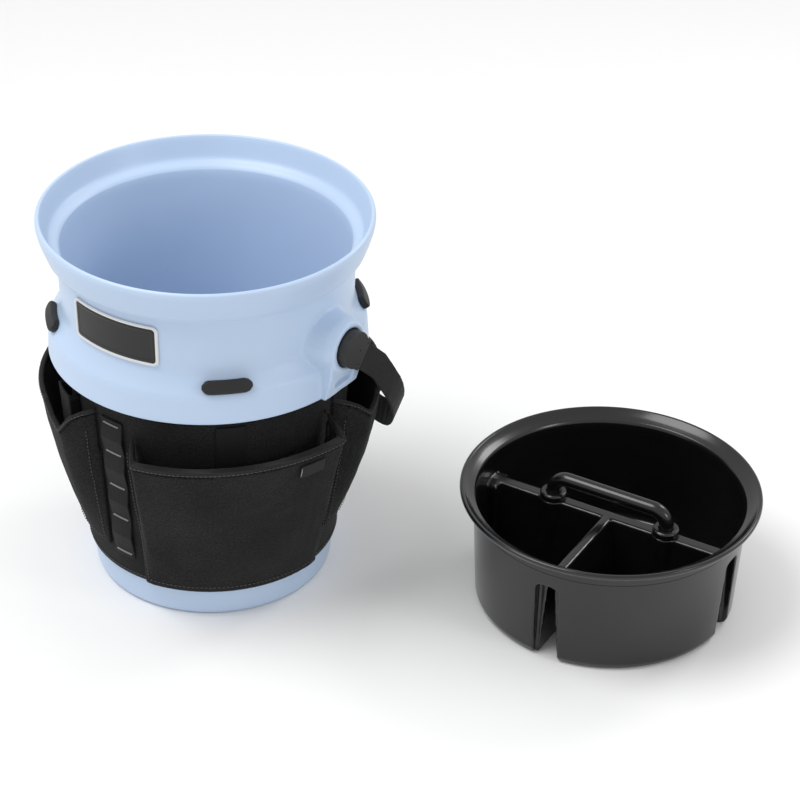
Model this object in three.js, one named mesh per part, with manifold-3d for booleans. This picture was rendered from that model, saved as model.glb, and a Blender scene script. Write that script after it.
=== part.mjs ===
// Tool bucket organizer: a moulded bucket with a sewn gear belt round it, a webbing bail,
// and a lift-out caddy with three compartments that stands beside the bucket.
// Millimetres, +Z up. The origin is the centre of the bucket's underside, the bail turns about X
// and the badge faces -Y. Azimuths are in degrees, counted from +X towards +Y.

import * as THREE from "three";
import { mergeVertices } from "three/addons/utils/BufferGeometryUtils.js";
import Module from "manifold-3d";

const wasm = await Module();
wasm.setup();

// ---- Driving dimensions -------------------------------------------------------------------

const GAP = 0.35; // clearance between pieces that touch
const ROUND_STEPS = 40; // segments of a full turn
const BOSS_STEPS = 28;
const PIN_STEPS = 14;
const LEG_STEPS = 20;

const BUCKET_HEIGHT = 371;
const RIM_RADIUS = 154;
const BASE_RADIUS = 113.3; // outer wall, extended down to z = 0
const WALL_TAPER = 0.07;
const INNER_BASE_RADIUS = 109.6;
const INNER_TAPER = 0.067;
const BUCKET_FLOOR = 5.5;
const SKIRT_BOTTOM = 235;
const SKIRT_RADIUS = 148.6;
const SHOULDER_Z = 262;
const NECK_RADIUS = 134.9;
const BAND_BOTTOM = 341; // lower edge of the rim band
const FOOT_INNER = 86;
const FOOT_OUTER = 104;
const FOOT_DEPTH = 2.6;

const PIVOT_Z = 283.5;
const BOSS_FACE = 160.4; // x of the boss's face
const BOSS_RADIUS = 24;
const RECESS_RADIUS = 18.6;
const RECESS_FLOOR = 152;
const LOOP_Z = 248.5; // tie-down slot under each boss
const LOOP_LENGTH = 27;
const LOOP_WIDTH = 9;

const PLUG_LENGTH = 44;
const PLUG_WIDTH = 13;
const PLUG_HEIGHT = 6;
const PLUG_AZIMUTHS = { front_right: -45, front_left: -135, rear_left: 135, rear_right: 45 };

const BADGE_WIDTH = 96;
const BADGE_HEIGHT = 41;
const BADGE_Z = 305;
const BADGE_BORDER = 3;

const BAIL_ANGLE = -43; // the strap's first stretch, below the horizontal behind the pivot
const STRAP_WIDTH = 25.4;
const STRAP_THICKNESS = 2.4;
const STRAP_X = 165.4;
const CAP_RADIUS = 17.6;
const CAP_HALF = 15.2; // half the cap's width where the strap leaves it
const CAP_REACH = 15.6;
const CAP_FACE = 169.2; // x of the cap's outer face
const PIN_RADIUS = 5;
const PIN_END = 162; // x where the pin ends inside the cap

const BELT_BOTTOM = 33;
const BELT_TOP = 232;
const BELT_THICKNESS = 3;
const HEM = 6;

const NARROW_BOTTOM = 58; // the narrow pockets end above the belt's hem
const POCKET_RADIUS = 160.5;
const POCKET_CLOTH = 3;
const BINDING_HEIGHT = 5;
const MOUTH_RISE = 12; // the mouth climbs this much towards its sewn ends

const CHAIN_WIDTH = 24.5; // webbing with loops between the pockets
const CHAIN_TACKS = [206, 174, 136, 100, 60];
const CHAIN_AZIMUTHS = { front: -93.7, rear: 87.5 };

const CADDY_X = 347.2;
const CADDY_Y = 160.6;
const CADDY_TURN = 4.6;
const CADDY_RADIUS = 141.5;
const CADDY_HEIGHT = 120.3;
const CADDY_FLOOR = 3;
const DIVIDER_TOP = 89;
const DIVIDER_HALF_TOP = 6.8; // half the cross wall's width at its top
const STEM_HALF_TOP = 5.2;
const DIVIDER_DRAFT = 7; // how much wider the half width is at the foot
const NOTCH_HALF = 12; // the notches in the caddy's wall under the dividers
const NOTCH_TOP = 85;
const LEG_SPACING = 117.6;
const BAR_RADIUS = 7;
const BAR_TOP = 119.5;
const LEG_BOTTOM = 28;
const STOP_REACH = 2; // how far the stop on a leg stands out from it
const STOP_CEILING = 80; // underside of the guide that the stop meets when the handle is pulled up
const COLLAR_RADIUS = 13;
const COLLAR_TOP = 96;

// ---- Materials ----------------------------------------------------------------------------

const plastic = (color, roughness) => new THREE.MeshStandardMaterial({ color, roughness, metalness: 0 });
const blueShell = () => plastic(0xb4cdf0, 0.45);
const blackRubber = () => plastic(0x1c1c1e, 0.6);
const blackFabric = () => plastic(0x262628, 0.95);
const blackTape = () => plastic(0x303033, 0.9);
const blackGloss = () => plastic(0x121213, 0.22);
const silver = () => new THREE.MeshStandardMaterial({ color: 0xd0d2d5, roughness: 0.35, metalness: 0.6 });
const steel = () => new THREE.MeshStandardMaterial({ color: 0x8d9094, roughness: 0.35, metalness: 1 });

// ---- Solids and geometry ------------------------------------------------------------------

const rad = THREE.MathUtils.degToRad;

/** A manifold solid with its faces pointing out, from any closed geometry. */
function solid(geometry) {
  const bare = new THREE.BufferGeometry();
  bare.setAttribute("position", geometry.getAttribute("position"));
  bare.setIndex(geometry.index);
  const merged = mergeVertices(bare, 1e-3);
  const triVerts = new Uint32Array(merged.index.array);
  const at = (i) => new THREE.Vector3().fromBufferAttribute(merged.attributes.position, i);
  let volume = 0;
  for (let i = 0; i < triVerts.length; i += 3)
    volume += at(triVerts[i]).dot(at(triVerts[i + 1]).cross(at(triVerts[i + 2])));
  if (volume < 0) triVerts.reverse();
  return new wasm.Manifold(
    new wasm.Mesh({ numProp: 3, vertProperties: merged.attributes.position.array, triVerts }),
  );
}

/** The geometry of a manifold solid. */
function geometryOf(body) {
  const { vertProperties, triVerts } = body.getMesh();
  const geometry = new THREE.BufferGeometry();
  geometry.setAttribute("position", new THREE.BufferAttribute(vertProperties, 3));
  geometry.setIndex(new THREE.BufferAttribute(triVerts, 1));
  geometry.computeVertexNormals();
  return geometry;
}

/** Adds one named piece to a group. */
function add(group, name, body, material) {
  const mesh = new THREE.Mesh(geometryOf(body), material);
  mesh.name = name;
  group.add(mesh);
  return mesh;
}

/** A solid turned about Z from [radius, z] points that close on the axis or on themselves. */
function revolve(points, steps = ROUND_STEPS) {
  const profile = points.map(([r, z]) => new THREE.Vector2(r, z));
  return solid(new THREE.LatheGeometry(profile, steps).rotateX(Math.PI / 2));
}

/** A ring about Z with the given corners. */
const ring = (corners, steps) => revolve([...corners, corners[0]], steps);

/** A solid turned about X from [radius, x] points. */
function revolveAboutX(points, steps) {
  const profile = points.map(([r, x]) => new THREE.Vector2(r, x));
  return solid(new THREE.LatheGeometry(profile, steps).rotateZ(-Math.PI / 2));
}

/** A shape drawn in (y, z), extruded from x0 to x1. */
function extrudeX(shape, x0, x1, curveSegments = 8) {
  const geometry = new THREE.ExtrudeGeometry(shape, { depth: x1 - x0, bevelEnabled: false, curveSegments });
  const [x, y, z] = [new THREE.Vector3(0, 1, 0), new THREE.Vector3(0, 0, 1), new THREE.Vector3(1, 0, 0)];
  return solid(geometry.applyMatrix4(new THREE.Matrix4().makeBasis(x, y, z)).translate(x0, 0, 0));
}

/** A round rod along Z. */
function rod(radius, z0, z1, x, y, steps = 24) {
  const geometry = new THREE.CylinderGeometry(radius, radius, z1 - z0, steps);
  return solid(geometry.rotateX(Math.PI / 2).translate(x, y, (z0 + z1) / 2));
}

/** A box between two corners. */
function block(low, high) {
  const size = high.map((h, i) => h - low[i]);
  const middle = high.map((h, i) => (h + low[i]) / 2);
  return solid(new THREE.BoxGeometry(...size).translate(...middle));
}

/** A solid through a row of closed sections that all have the same number of points. */
function loft(sections) {
  const count = sections[0].length;
  const index = [];
  for (let i = 0; i + 1 < sections.length; i++)
    for (let j = 0; j < count; j++) {
      const a = i * count + j;
      const b = i * count + ((j + 1) % count);
      index.push(a, b, a + count, b, b + count, a + count);
    }
  const cap = (section, first, flip) => {
    const normal = new THREE.Vector3();
    section.forEach((p, j) => normal.add(p.clone().cross(section[(j + 1) % count])));
    normal.normalize();
    const u = section[1].clone().sub(section[0]).normalize();
    const v = normal.clone().cross(u);
    const flat = section.map((p) => new THREE.Vector2(p.dot(u), p.dot(v)));
    for (const [a, b, c] of THREE.ShapeUtils.triangulateShape(flat, []))
      index.push(first + a, first + (flip ? c : b), first + (flip ? b : c));
  };
  cap(sections[0], 0, true);
  cap(sections.at(-1), (sections.length - 1) * count, false);
  const positions = sections.flat().flatMap((p) => [p.x, p.y, p.z]);
  const geometry = new THREE.BufferGeometry();
  geometry.setAttribute("position", new THREE.Float32BufferAttribute(positions, 3));
  geometry.setIndex(index);
  return solid(geometry);
}

/** A point at a radius, azimuth and height. */
const polar = (r, azimuth, z) =>
  new THREE.Vector3(r * Math.cos(rad(azimuth)), r * Math.sin(rad(azimuth)), z);

/** A slab round Z from azimuth `from` to `to`. corners(azimuth) gives its section's [radius, z] points. */
function sector(from, to, steps, corners) {
  const sections = [];
  for (let i = 0; i <= steps; i++) {
    const azimuth = from + ((to - from) * i) / steps;
    sections.push(corners(azimuth).map(([r, z]) => polar(r, azimuth, z)));
  }
  return loft(sections);
}

const wallOuter = (z) => BASE_RADIUS + WALL_TAPER * z;
const wallInner = (z) => INNER_BASE_RADIUS + INNER_TAPER * z;
const beltInner = (z) => wallOuter(z) + GAP;
const beltOuter = (z) => beltInner(z) + BELT_THICKNESS;

// ---- Bucket -------------------------------------------------------------------------------

/** A round plug about X from x = low to x = high. */
const cylinderAboutX = (radius, low, high, steps) =>
  revolveAboutX([[0, low], [radius, low], [radius, high], [0, high]], steps);

/** Flared boss that carries the bail, with its recess and, below it, the tie-down slot. */
function bossSolid() {
  const cone = revolveAboutX([
    [0, 128], [33, 128], [29.6, 137], [28, 144], [26.6, 152],
    [BOSS_RADIUS, BOSS_FACE - 1.2], [BOSS_RADIUS - 1.4, BOSS_FACE], [RECESS_RADIUS, BOSS_FACE],
    [RECESS_RADIUS, RECESS_FLOOR], [0, RECESS_FLOOR],
  ], BOSS_STEPS);
  const outline = (half, z, face) => [[126, -half], [126, half], [face, half], [face, -half]]
    .map(([x, y]) => new THREE.Vector3(x, y, z));
  const face = BOSS_FACE - 3;
  const web = loft([
    outline(24.5, SKIRT_BOTTOM + 1, 151.6),
    outline(23.5, 258, face),
    outline(22, PIVOT_Z - 4, face),
  ]);
  const outside = BOSS_FACE + 10;
  const recess = revolveAboutX([
    [0, RECESS_FLOOR], [RECESS_RADIUS, RECESS_FLOOR], [RECESS_RADIUS, outside], [0, outside],
  ], BOSS_STEPS);
  const slot = new THREE.Shape();
  const half = LOOP_LENGTH / 2 - LOOP_WIDTH / 2;
  slot.absarc(half, LOOP_Z, LOOP_WIDTH / 2, -Math.PI / 2, Math.PI / 2);
  slot.absarc(-half, LOOP_Z, LOOP_WIDTH / 2, Math.PI / 2, (3 * Math.PI) / 2);
  const [low, high, wall] = [200, 340, 1.6];
  const insideOfWall = revolve([
    [0, low], [wallInner(low) + wall, low], [wallInner(high) + wall, high], [0, high],
  ]);
  const underShoulder = block([100, -60, 200], [180, 60, SHOULDER_Z - 1]);
  return cone
    .translate([0, 0, PIVOT_Z])
    .subtract(underShoulder)
    .add(web)
    .subtract(recess.translate([0, 0, PIVOT_Z]))
    .subtract(extrudeX(slot, SKIRT_RADIUS + 0.6, outside, 5))
    .subtract(insideOfWall);
}

function bucketShell() {
  const body = revolve([
    [0, 0], [FOOT_INNER - GAP, 0], [FOOT_INNER - GAP, FOOT_DEPTH], [FOOT_OUTER + GAP, FOOT_DEPTH],
    [FOOT_OUTER + GAP, 0], [108.6, 0], [111.2, 0.9], [112.8, 2.8], [113.6, 5.4],
    [wallOuter(257), 257], [132.6, 260.4], [141, 260.4], [143.4, 257.4],
    [144.6, SKIRT_BOTTOM + 0.6], [146.4, SKIRT_BOTTOM], [148, SKIRT_BOTTOM + 0.3],
    [SKIRT_RADIUS, SKIRT_BOTTOM + 1.6], [147.2, 259.6], [145.9, SHOULDER_Z + 2], [141.6, 269.6],
    [137.8, 275.4], [135.6, 279.6], [NECK_RADIUS, 284],
    [136.1, 332], [137.4, 335.6], [140.8, 337.8], [145.4, BAND_BOTTOM - 1.6], [146.5, BAND_BOTTOM],
    [149.8, 350], [152.3, 357.6], [153.6, 363], [RIM_RADIUS, 366.6], [153.5, 369.4],
    [151.7, BUCKET_HEIGHT], [149.9, 370.2], [149, 367.6],
    [143.2, 351.4], [141.4, 349], [135.4, 345.6], [133.2, 343], [wallInner(337), 337],
    [wallInner(16), 16], [108.4, 9.6], [105, 6.6], [99, BUCKET_FLOOR], [0, BUCKET_FLOOR],
  ]);
  const boss = bossSolid();
  return body.add(boss).add(boss.rotate([0, 0, 180]));
}

/** Elongated rubber plug on the shoulder, drawn at azimuth 0. */
function shoulderPlug() {
  const slope = new THREE.Vector2(0.83, 0.557); // the shoulder's outward normal, in (radius, z)
  const foot = new THREE.Vector2(141.4, 269.9);
  const reach = PLUG_LENGTH / 2 / foot.x;
  return sector(THREE.MathUtils.radToDeg(-reach), THREE.MathUtils.radToDeg(reach), 14, (azimuth) => {
    const t = Math.min(0.985, Math.abs(rad(azimuth)) / reach);
    const nose = (PLUG_WIDTH / 2) / (PLUG_LENGTH / 2);
    const s = t < 1 - nose ? 1 : Math.sqrt(1 - ((t - 1 + nose) / nose) ** 2);
    const width = (PLUG_WIDTH / 2) * s;
    const lift = 0.6;
    return [[-1, lift], [1, lift], [1, lift + PLUG_HEIGHT - 1.6], [0.8, lift + PLUG_HEIGHT],
      [-0.8, lift + PLUG_HEIGHT], [-1, lift + PLUG_HEIGHT - 1.6]].map(([across, up]) => [
      foot.x + slope.x * up + slope.y * across * width,
      foot.y + slope.y * up - slope.x * across * width,
    ]);
  });
}

/** A plate bent round the neck with rounded corners, centred on azimuth -90. */
function badgeSlab(width, height, low, high) {
  const middle = NECK_RADIUS + 0.025 * (BADGE_Z - 284);
  const corner = 7;
  const reach = THREE.MathUtils.radToDeg(width / 2 / middle);
  return sector(-90 - reach, -90 + reach, 14, (azimuth) => {
    const out = Math.max(0, Math.abs(rad(azimuth + 90)) * middle - (width / 2 - corner));
    const half = height / 2 - corner + Math.sqrt(Math.max(0.2, corner ** 2 - out ** 2));
    const lean = 0.025 * half;
    return [[middle + low - lean, BADGE_Z - half], [middle + high - lean, BADGE_Z - half],
      [middle + high + lean, BADGE_Z + half], [middle + low + lean, BADGE_Z + half]];
  });
}

function buildBucket(group) {
  add(group, "bucket_shell", bucketShell(), blueShell());
  const footTop = FOOT_DEPTH - GAP;
  const foot = ring([[FOOT_INNER, 0], [FOOT_OUTER, 0], [FOOT_OUTER, footTop], [FOOT_INNER, footTop]]);
  add(group, "foot_ring", foot, blackRubber());
  for (const [place, azimuth] of Object.entries(PLUG_AZIMUTHS))
    add(group, "shoulder_plug_" + place, shoulderPlug(), blackRubber()).rotation.z = rad(azimuth);
  const width = BADGE_WIDTH - 2 * BADGE_BORDER;
  const height = BADGE_HEIGHT - 2 * BADGE_BORDER;
  const hole = badgeSlab(width + 2 * GAP, height + 2 * GAP, -2, 5);
  add(group, "badge_plate", badgeSlab(width, height, GAP, 2.2), blackGloss());
  add(group, "badge_border", badgeSlab(BADGE_WIDTH, BADGE_HEIGHT, GAP, 1.9).subtract(hole), silver());
  for (const [side, turn] of [["right", 0], ["left", 180]]) {
    const [seat, flange] = [RECESS_FLOOR + GAP, RECESS_FLOOR + 2.2];
    const pin = revolveAboutX([
      [0, seat], [PIN_RADIUS + 4, seat], [PIN_RADIUS + 4, flange],
      [PIN_RADIUS, flange], [PIN_RADIUS, PIN_END], [0, PIN_END],
    ], PIN_STEPS);
    const mesh = add(group, "pivot_pin_" + side, pin, steel());
    mesh.rotation.z = rad(turn);
    mesh.position.z = PIVOT_Z;
  }
}

// ---- Gear belt ----------------------------------------------------------------------------

/** A band of cloth round the bucket between two heights. */
const beltBand = (low, high) =>
  ring([[beltInner(low), low], [beltOuter(low), low], [beltOuter(high), high], [beltInner(high), high]]);

/** A flat strip on the belt, drawn at azimuth 0. */
function beltStrip(width, low, high, from, to) {
  const reach = THREE.MathUtils.radToDeg(width / 2 / beltOuter((low + high) / 2));
  return sector(-reach, reach, 6, () => [[beltOuter(low) + from, low], [beltOuter(low) + to, low],
    [beltOuter(high) + to, high], [beltOuter(high) + from, high]]);
}

/** Webbing sewn down at its tacks, standing off a little between them, drawn at azimuth 0. */
function loopWebbing() {
  const heights = [];
  CHAIN_TACKS.forEach((tack, i) => {
    heights.push([tack, 0]);
    if (i + 1 < CHAIN_TACKS.length) heights.push([(tack + CHAIN_TACKS[i + 1]) / 2, 2.6]);
  });
  const top = [CHAIN_TACKS[0] + 5, 0];
  const bottom = [CHAIN_TACKS.at(-1) - 5, 0];
  const line = [top, ...heights, bottom];
  const inner = line.map(([z, off]) => [beltOuter(z) + GAP + off, z]);
  const outer = line.map(([z, off]) => [beltOuter(z) + GAP + 1.7 + off, z]).reverse();
  const reach = THREE.MathUtils.radToDeg(CHAIN_WIDTH / 2 / beltOuter(135));
  return sector(-reach, reach, 4, () => [...inner, ...outer]);
}

/** How far a pocket stands open at an azimuth: 0 where it is sewn to the belt, 1 across its face. */
function spreadOf({ from, to, ramp }, azimuth) {
  const near = Math.min(azimuth - from, to - azimuth) / ramp;
  return Math.min(1, Math.max(0, near)) ** 0.8;
}

/** A solid with a pocket's outline. `inset` draws its face in, and `back` is its start outside the belt. */
function pocketSlab(pocket, { inset, back, low, high }) {
  const { from, to, ramp, radius, flare, bottom, top, fullness } = pocket;
  const turns = [0, 0.12, 0.35, 0.65, 0.88, 1.05]; // shares of the ramp
  const start = from + turns.at(-1) * ramp;
  const face = from + to - 2 * start;
  const steps = Math.ceil(face / 5);
  const across = Array.from({ length: steps - 1 }, (_, i) => start + ((i + 1) / steps) * face);
  const stations = [
    ...turns.map((u) => from + u * ramp),
    ...across,
    ...turns.map((u) => to - u * ramp).reverse(),
  ];
  const outer = (azimuth, z) => {
    const open = 1 - Math.max(0, 1 - Math.max(0, z - bottom) / (top - bottom)) ** fullness;
    const reach = radius + flare * ((azimuth - from) / (to - from)) ** 4;
    const full = 1.2 + (reach - POCKET_CLOTH - beltOuter(top) - 1.2) * open;
    return beltOuter(z) + GAP + POCKET_CLOTH + full * spreadOf(pocket, azimuth) - inset;
  };
  return loft(stations.map((azimuth) => {
    const [z0, z1] = [low(azimuth), high(azimuth)];
    const heights = fullness === 1 ? [z0, z1] : [0, 0.25, 0.5, 0.75, 1].map((u) => z0 + u * (z1 - z0));
    return [
      polar(beltOuter(z0) + back, azimuth, z0),
      ...heights.map((z) => polar(outer(azimuth, z), azimuth, z)),
      polar(beltOuter(z1) + back, azimuth, z1),
    ];
  }));
}

// Azimuths where a pocket is sewn down, how far each end ramps out, its bottom and mouth heights, how much
// the mouth climbs along it, and how deep its corners droop.
const POCKETS = {
  front: {
    from: -83, to: 0.5, ramp: 5, bottom: BELT_BOTTOM, top: 191,
    radius: POCKET_RADIUS, flare: 7, fullness: 1, lift: 4, droop: 0,
  },
  rear_right: {
    from: 5, to: 79, ramp: 11, bottom: 66, top: 203,
    radius: POCKET_RADIUS + 1, flare: 0, fullness: 2, lift: 0, droop: 13,
  },
  rear_left: {
    from: 97, to: 170.5, ramp: 8, bottom: BELT_BOTTOM, top: 195,
    radius: POCKET_RADIUS - 2, flare: 0, fullness: 1, lift: 0, droop: 4,
  },
  left: {
    from: -184, to: -102, ramp: 12, bottom: NARROW_BOTTOM, top: 204,
    radius: POCKET_RADIUS - 2, flare: 0, fullness: 1.6, lift: 0, droop: 20,
  },
};

function buildPocket(group, place, pocket) {
  const { from, to, ramp, top, lift, droop } = pocket;
  const mouth = (azimuth) => {
    const fromCorner = Math.min(azimuth - from, to - azimuth) - 1.15 * ramp;
    return top + (lift * (azimuth - from)) / (to - from)
      + MOUTH_RISE * (1 - spreadOf(pocket, azimuth)) - droop * Math.exp(-((fromCorner / 5) ** 2));
  };
  const below = (azimuth) => mouth(azimuth) - BINDING_HEIGHT;
  const open = (azimuth) => mouth(azimuth) + 30;
  const cutter = (inset, low) => pocketSlab(pocket, { inset, back: -4, low, high: open });
  const bottom = () => pocket.bottom;
  const cloth = pocketSlab(pocket, { inset: 0, back: GAP, low: bottom, high: (a) => below(a) - GAP })
    .subtract(cutter(POCKET_CLOTH + 0.2, () => pocket.bottom + POCKET_CLOTH));
  add(group, "pocket_" + place, cloth, blackFabric());
  const tape = pocketSlab(pocket, { inset: -0.5, back: GAP, low: below, high: mouth })
    .subtract(cutter(POCKET_CLOTH + 0.6, bottom));
  add(group, "pocket_binding_" + place, tape, blackTape());
}

function buildBelt(group) {
  add(group, "belt_panel", beltBand(BELT_BOTTOM + HEM + GAP, BELT_TOP - HEM - GAP), blackFabric());
  add(group, "belt_hem_bottom", beltBand(BELT_BOTTOM, BELT_BOTTOM + HEM), blackTape());
  add(group, "belt_hem_top", beltBand(BELT_TOP - HEM, BELT_TOP), blackTape());
  for (const [place, pocket] of Object.entries(POCKETS)) buildPocket(group, place, pocket);
  for (const [place, azimuth] of Object.entries(CHAIN_AZIMUTHS))
    add(group, "loop_webbing_" + place, loopWebbing(), blackTape()).rotation.z = rad(azimuth);
  const inside = beltStrip(26, 60, 222, GAP, 1.8);
  add(group, "inner_webbing", inside, blackTape()).rotation.z = rad(-43.3);
  const sleeve = beltStrip(28, 140, 214, GAP, 11.5).subtract(beltStrip(24, 130, 230, -2, 9.5));
  add(group, "tool_sleeve", sleeve, blackFabric()).rotation.z = rad(-121.5);
  const tab = sector(-21.5, -12, 4, () => [[159.4, 170], [160.5, 170], [163.8, 184], [162.7, 184]]);
  add(group, "pocket_tab", tab, blackTape());
}

// ---- Bail ---------------------------------------------------------------------------------

/** The strap's centre line behind the bucket, for the +X half. The other half mirrors it. */
const strapHalf = () => {
  const [back, up] = [Math.cos(rad(BAIL_ANGLE)), Math.sin(rad(BAIL_ANGLE))];
  const along = (distance) => new THREE.Vector3(STRAP_X, distance * back, PIVOT_Z + distance * up);
  return [
    along(9), along(20), along(36), along(54),
    new THREE.Vector3(STRAP_X, 50, 231), new THREE.Vector3(164.8, 64, 211), new THREE.Vector3(161, 77, 191),
    new THREE.Vector3(152, 90, 170), new THREE.Vector3(134, 107, 149),
    new THREE.Vector3(110, 124, 135), new THREE.Vector3(62, 150, 123),
  ];
};

function strapSolid() {
  const half = strapHalf();
  const mirrored = half.map((p) => new THREE.Vector3(-p.x, p.y, p.z)).reverse();
  const middle = new THREE.Vector3(0, 161, 119);
  const curve = new THREE.CatmullRomCurve3([...half, middle, ...mirrored], false, "centripetal");
  const square = new THREE.Vector3(0, -Math.sin(rad(BAIL_ANGLE)), Math.cos(rad(BAIL_ANGLE)));
  const steps = 44;
  const sections = [];
  for (let i = 0; i <= steps; i++) {
    const u = i / steps;
    const p = curve.getPointAt(u);
    const tangent = curve.getTangentAt(u);
    const aside = THREE.MathUtils.smoothstep(Math.abs(p.x), 110, STRAP_X);
    const lean = square.clone().multiplyScalar(aside);
    const upright = new THREE.Vector3(p.x / 500, p.y / 500, 1).multiplyScalar(1 - aside);
    const across = lean.add(upright);
    across.addScaledVector(tangent, -across.dot(tangent)).normalize();
    const out = across.clone().cross(tangent).normalize();
    const corner = (a, b) => p.clone()
      .addScaledVector(across, (a * STRAP_WIDTH) / 2)
      .addScaledVector(out, (b * STRAP_THICKNESS) / 2);
    sections.push([corner(-1, -1), corner(1, -1), corner(1, 1), corner(-1, 1)]);
  }
  return loft(sections);
}

/** Moulded end cap at +X, drawn with the strap leaving along +Y. */
function capSolid() {
  const shoulder = Math.asin(CAP_HALF / CAP_RADIUS);
  const paddle = new THREE.Shape();
  paddle.absarc(0, 0, CAP_RADIUS, shoulder, 2 * Math.PI - shoulder);
  paddle.lineTo(CAP_REACH, -CAP_HALF);
  paddle.lineTo(CAP_REACH, CAP_HALF);
  paddle.closePath();
  const plug = cylinderAboutX(CAP_RADIUS, RECESS_FLOOR + 3, BOSS_FACE + 1, 20);
  const bore = cylinderAboutX(PIN_RADIUS + GAP, RECESS_FLOOR, PIN_END + GAP, PIN_STEPS);
  const [inner, outer] = [STRAP_X - STRAP_THICKNESS / 2 - GAP, STRAP_X + STRAP_THICKNESS / 2 + GAP];
  const slot = block([inner, 8, -STRAP_WIDTH / 2 - GAP], [outer, CAP_REACH + 5, STRAP_WIDTH / 2 + GAP]);
  let cap = extrudeX(paddle, BOSS_FACE + 0.6, CAP_FACE, 8).add(plug).subtract(bore).subtract(slot);
  for (const [y, z] of [[12.4, 11], [5, 1.5], [12.4, -10]]) {
    const hole = cylinderAboutX(1.2, outer + 0.5, CAP_FACE + 1, 6);
    cap = cap.subtract(hole.translate([0, y, z]));
  }
  return cap;
}

function buildBail(group) {
  add(group, "bail_strap", strapSolid(), blackTape());
  const cap = capSolid();
  for (const [side, body] of [["right", cap], ["left", cap.mirror([1, 0, 0])]]) {
    const mesh = add(group, "bail_cap_" + side, body, blackRubber());
    mesh.position.z = PIVOT_Z;
    mesh.rotation.x = rad(BAIL_ANGLE);
  }
}

// ---- Caddy --------------------------------------------------------------------------------

/** A wall's cross-section in (y, z): wide at its foot and rounded over at its top. */
function wallSection(halfBottom, halfTop, bottom, top, corner) {
  const shape = new THREE.Shape();
  shape.moveTo(-halfBottom, bottom);
  shape.lineTo(halfBottom, bottom);
  shape.lineTo(halfTop, top - corner);
  shape.quadraticCurveTo(halfTop, top, halfTop - corner, top);
  shape.lineTo(corner - halfTop, top);
  shape.quadraticCurveTo(-halfTop, top, -halfTop, top - corner);
  shape.closePath();
  return shape;
}

/** The cross wall along X and the stem from it towards -Y, as one T. */
function teeSolid(crossSection, stemSection, reach, steps) {
  const across = extrudeX(crossSection, -reach, reach, steps);
  const stem = extrudeX(stemSection, 0, reach, steps).rotate([0, 0, -90]);
  return across.add(stem);
}

function caddyTub() {
  const outside = [
    [0, 0], [116.5, 0], [121, 1.8], [123.2, 6.4], [128.2, 105.6], [129.6, 108.4],
    [135.6, 111.4], [140, 114.4], [CADDY_RADIUS, 117.2], [141.2, 119.4], [139.6, CADDY_HEIGHT],
  ];
  const inside = [
    [137.8, 119.8], [136.6, 118.4], [131.6, 114.6], [127.4, 112.8], [125.8, 110], [121, 9.5], [118.4, 4.6],
    [114, CADDY_FLOOR], [0, CADDY_FLOOR],
  ];
  const tub = revolve([...outside, ...inside]);
  const room = revolve([[0, 1], [120, 1], [126, 105], [0, 105]]);
  const drafted = (halfTop, inset, low, top, corner) =>
    wallSection(halfTop + DIVIDER_DRAFT - inset, halfTop - inset, low, top, corner);
  const tee = (inset, low, top, corner, reach) => teeSolid(
    drafted(DIVIDER_HALF_TOP, inset, low, top, corner),
    drafted(STEM_HALF_TOP, inset, low, top, corner),
    reach,
    3,
  );
  const walls = tee(0, 1, DIVIDER_TOP, 3, 140);
  const channel = tee(2.4, -5, DIVIDER_TOP - 4, 2, 160);
  const pilaster = wallSection(NOTCH_HALF + 4, NOTCH_HALF + 2, 1, NOTCH_TOP + 3, 7);
  const pilasters = teeSolid(pilaster, pilaster, 140, 3).subtract(rod(114, -5, 200, 0, 0, ROUND_STEPS));
  const gap = wallSection(NOTCH_HALF + 0.6, NOTCH_HALF - 0.6, -5, NOTCH_TOP, 7);
  const notches = teeSolid(gap, gap, 160, 4).subtract(rod(117, -10, 200, 0, 0, ROUND_STEPS));
  let body = tub.add(walls.add(pilasters).intersect(room)).subtract(channel).subtract(notches);
  for (const side of [-1, 1]) {
    const x = (side * LEG_SPACING) / 2;
    const column = solid(new THREE.CylinderGeometry(COLLAR_RADIUS, COLLAR_RADIUS - 0.8, DIVIDER_TOP - 2, 24)
      .rotateX(Math.PI / 2)).translate([x, 0, DIVIDER_TOP / 2 + 1]);
    const way = rod(BAR_RADIUS + GAP, 20, 200, x, 0, LEG_STEPS);
    const stopWay = rod(BAR_RADIUS + STOP_REACH + 0.5, -5, STOP_CEILING, x, 0, LEG_STEPS);
    body = body.add(column).subtract(way).subtract(stopWay);
  }
  return body;
}

/** The pull-up handle: one round bar bent into a wide U, standing on its two legs. */
function caddyHandleSolid() {
  const corner = 13;
  const half = LEG_SPACING / 2;
  const top = BAR_TOP - BAR_RADIUS;
  const path = new THREE.CurvePath();
  const point = (x, z) => new THREE.Vector3(x, 0, z);
  const [rise, bend] = [top - corner, half - corner];
  path.add(new THREE.LineCurve3(point(-half, LEG_BOTTOM), point(-half, rise)));
  path.add(new THREE.QuadraticBezierCurve3(point(-half, rise), point(-half, top), point(-bend, top)));
  path.add(new THREE.LineCurve3(point(-bend, top), point(bend, top)));
  path.add(new THREE.QuadraticBezierCurve3(point(bend, top), point(half, top), point(half, rise)));
  path.add(new THREE.LineCurve3(point(half, rise), point(half, LEG_BOTTOM)));
  const circle = new THREE.Shape();
  circle.absarc(0, 0, BAR_RADIUS, 0, 2 * Math.PI);
  const sweep = { extrudePath: path, steps: 44, curveSegments: 5, bevelEnabled: false };
  return solid(new THREE.ExtrudeGeometry(circle, sweep));
}

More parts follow.
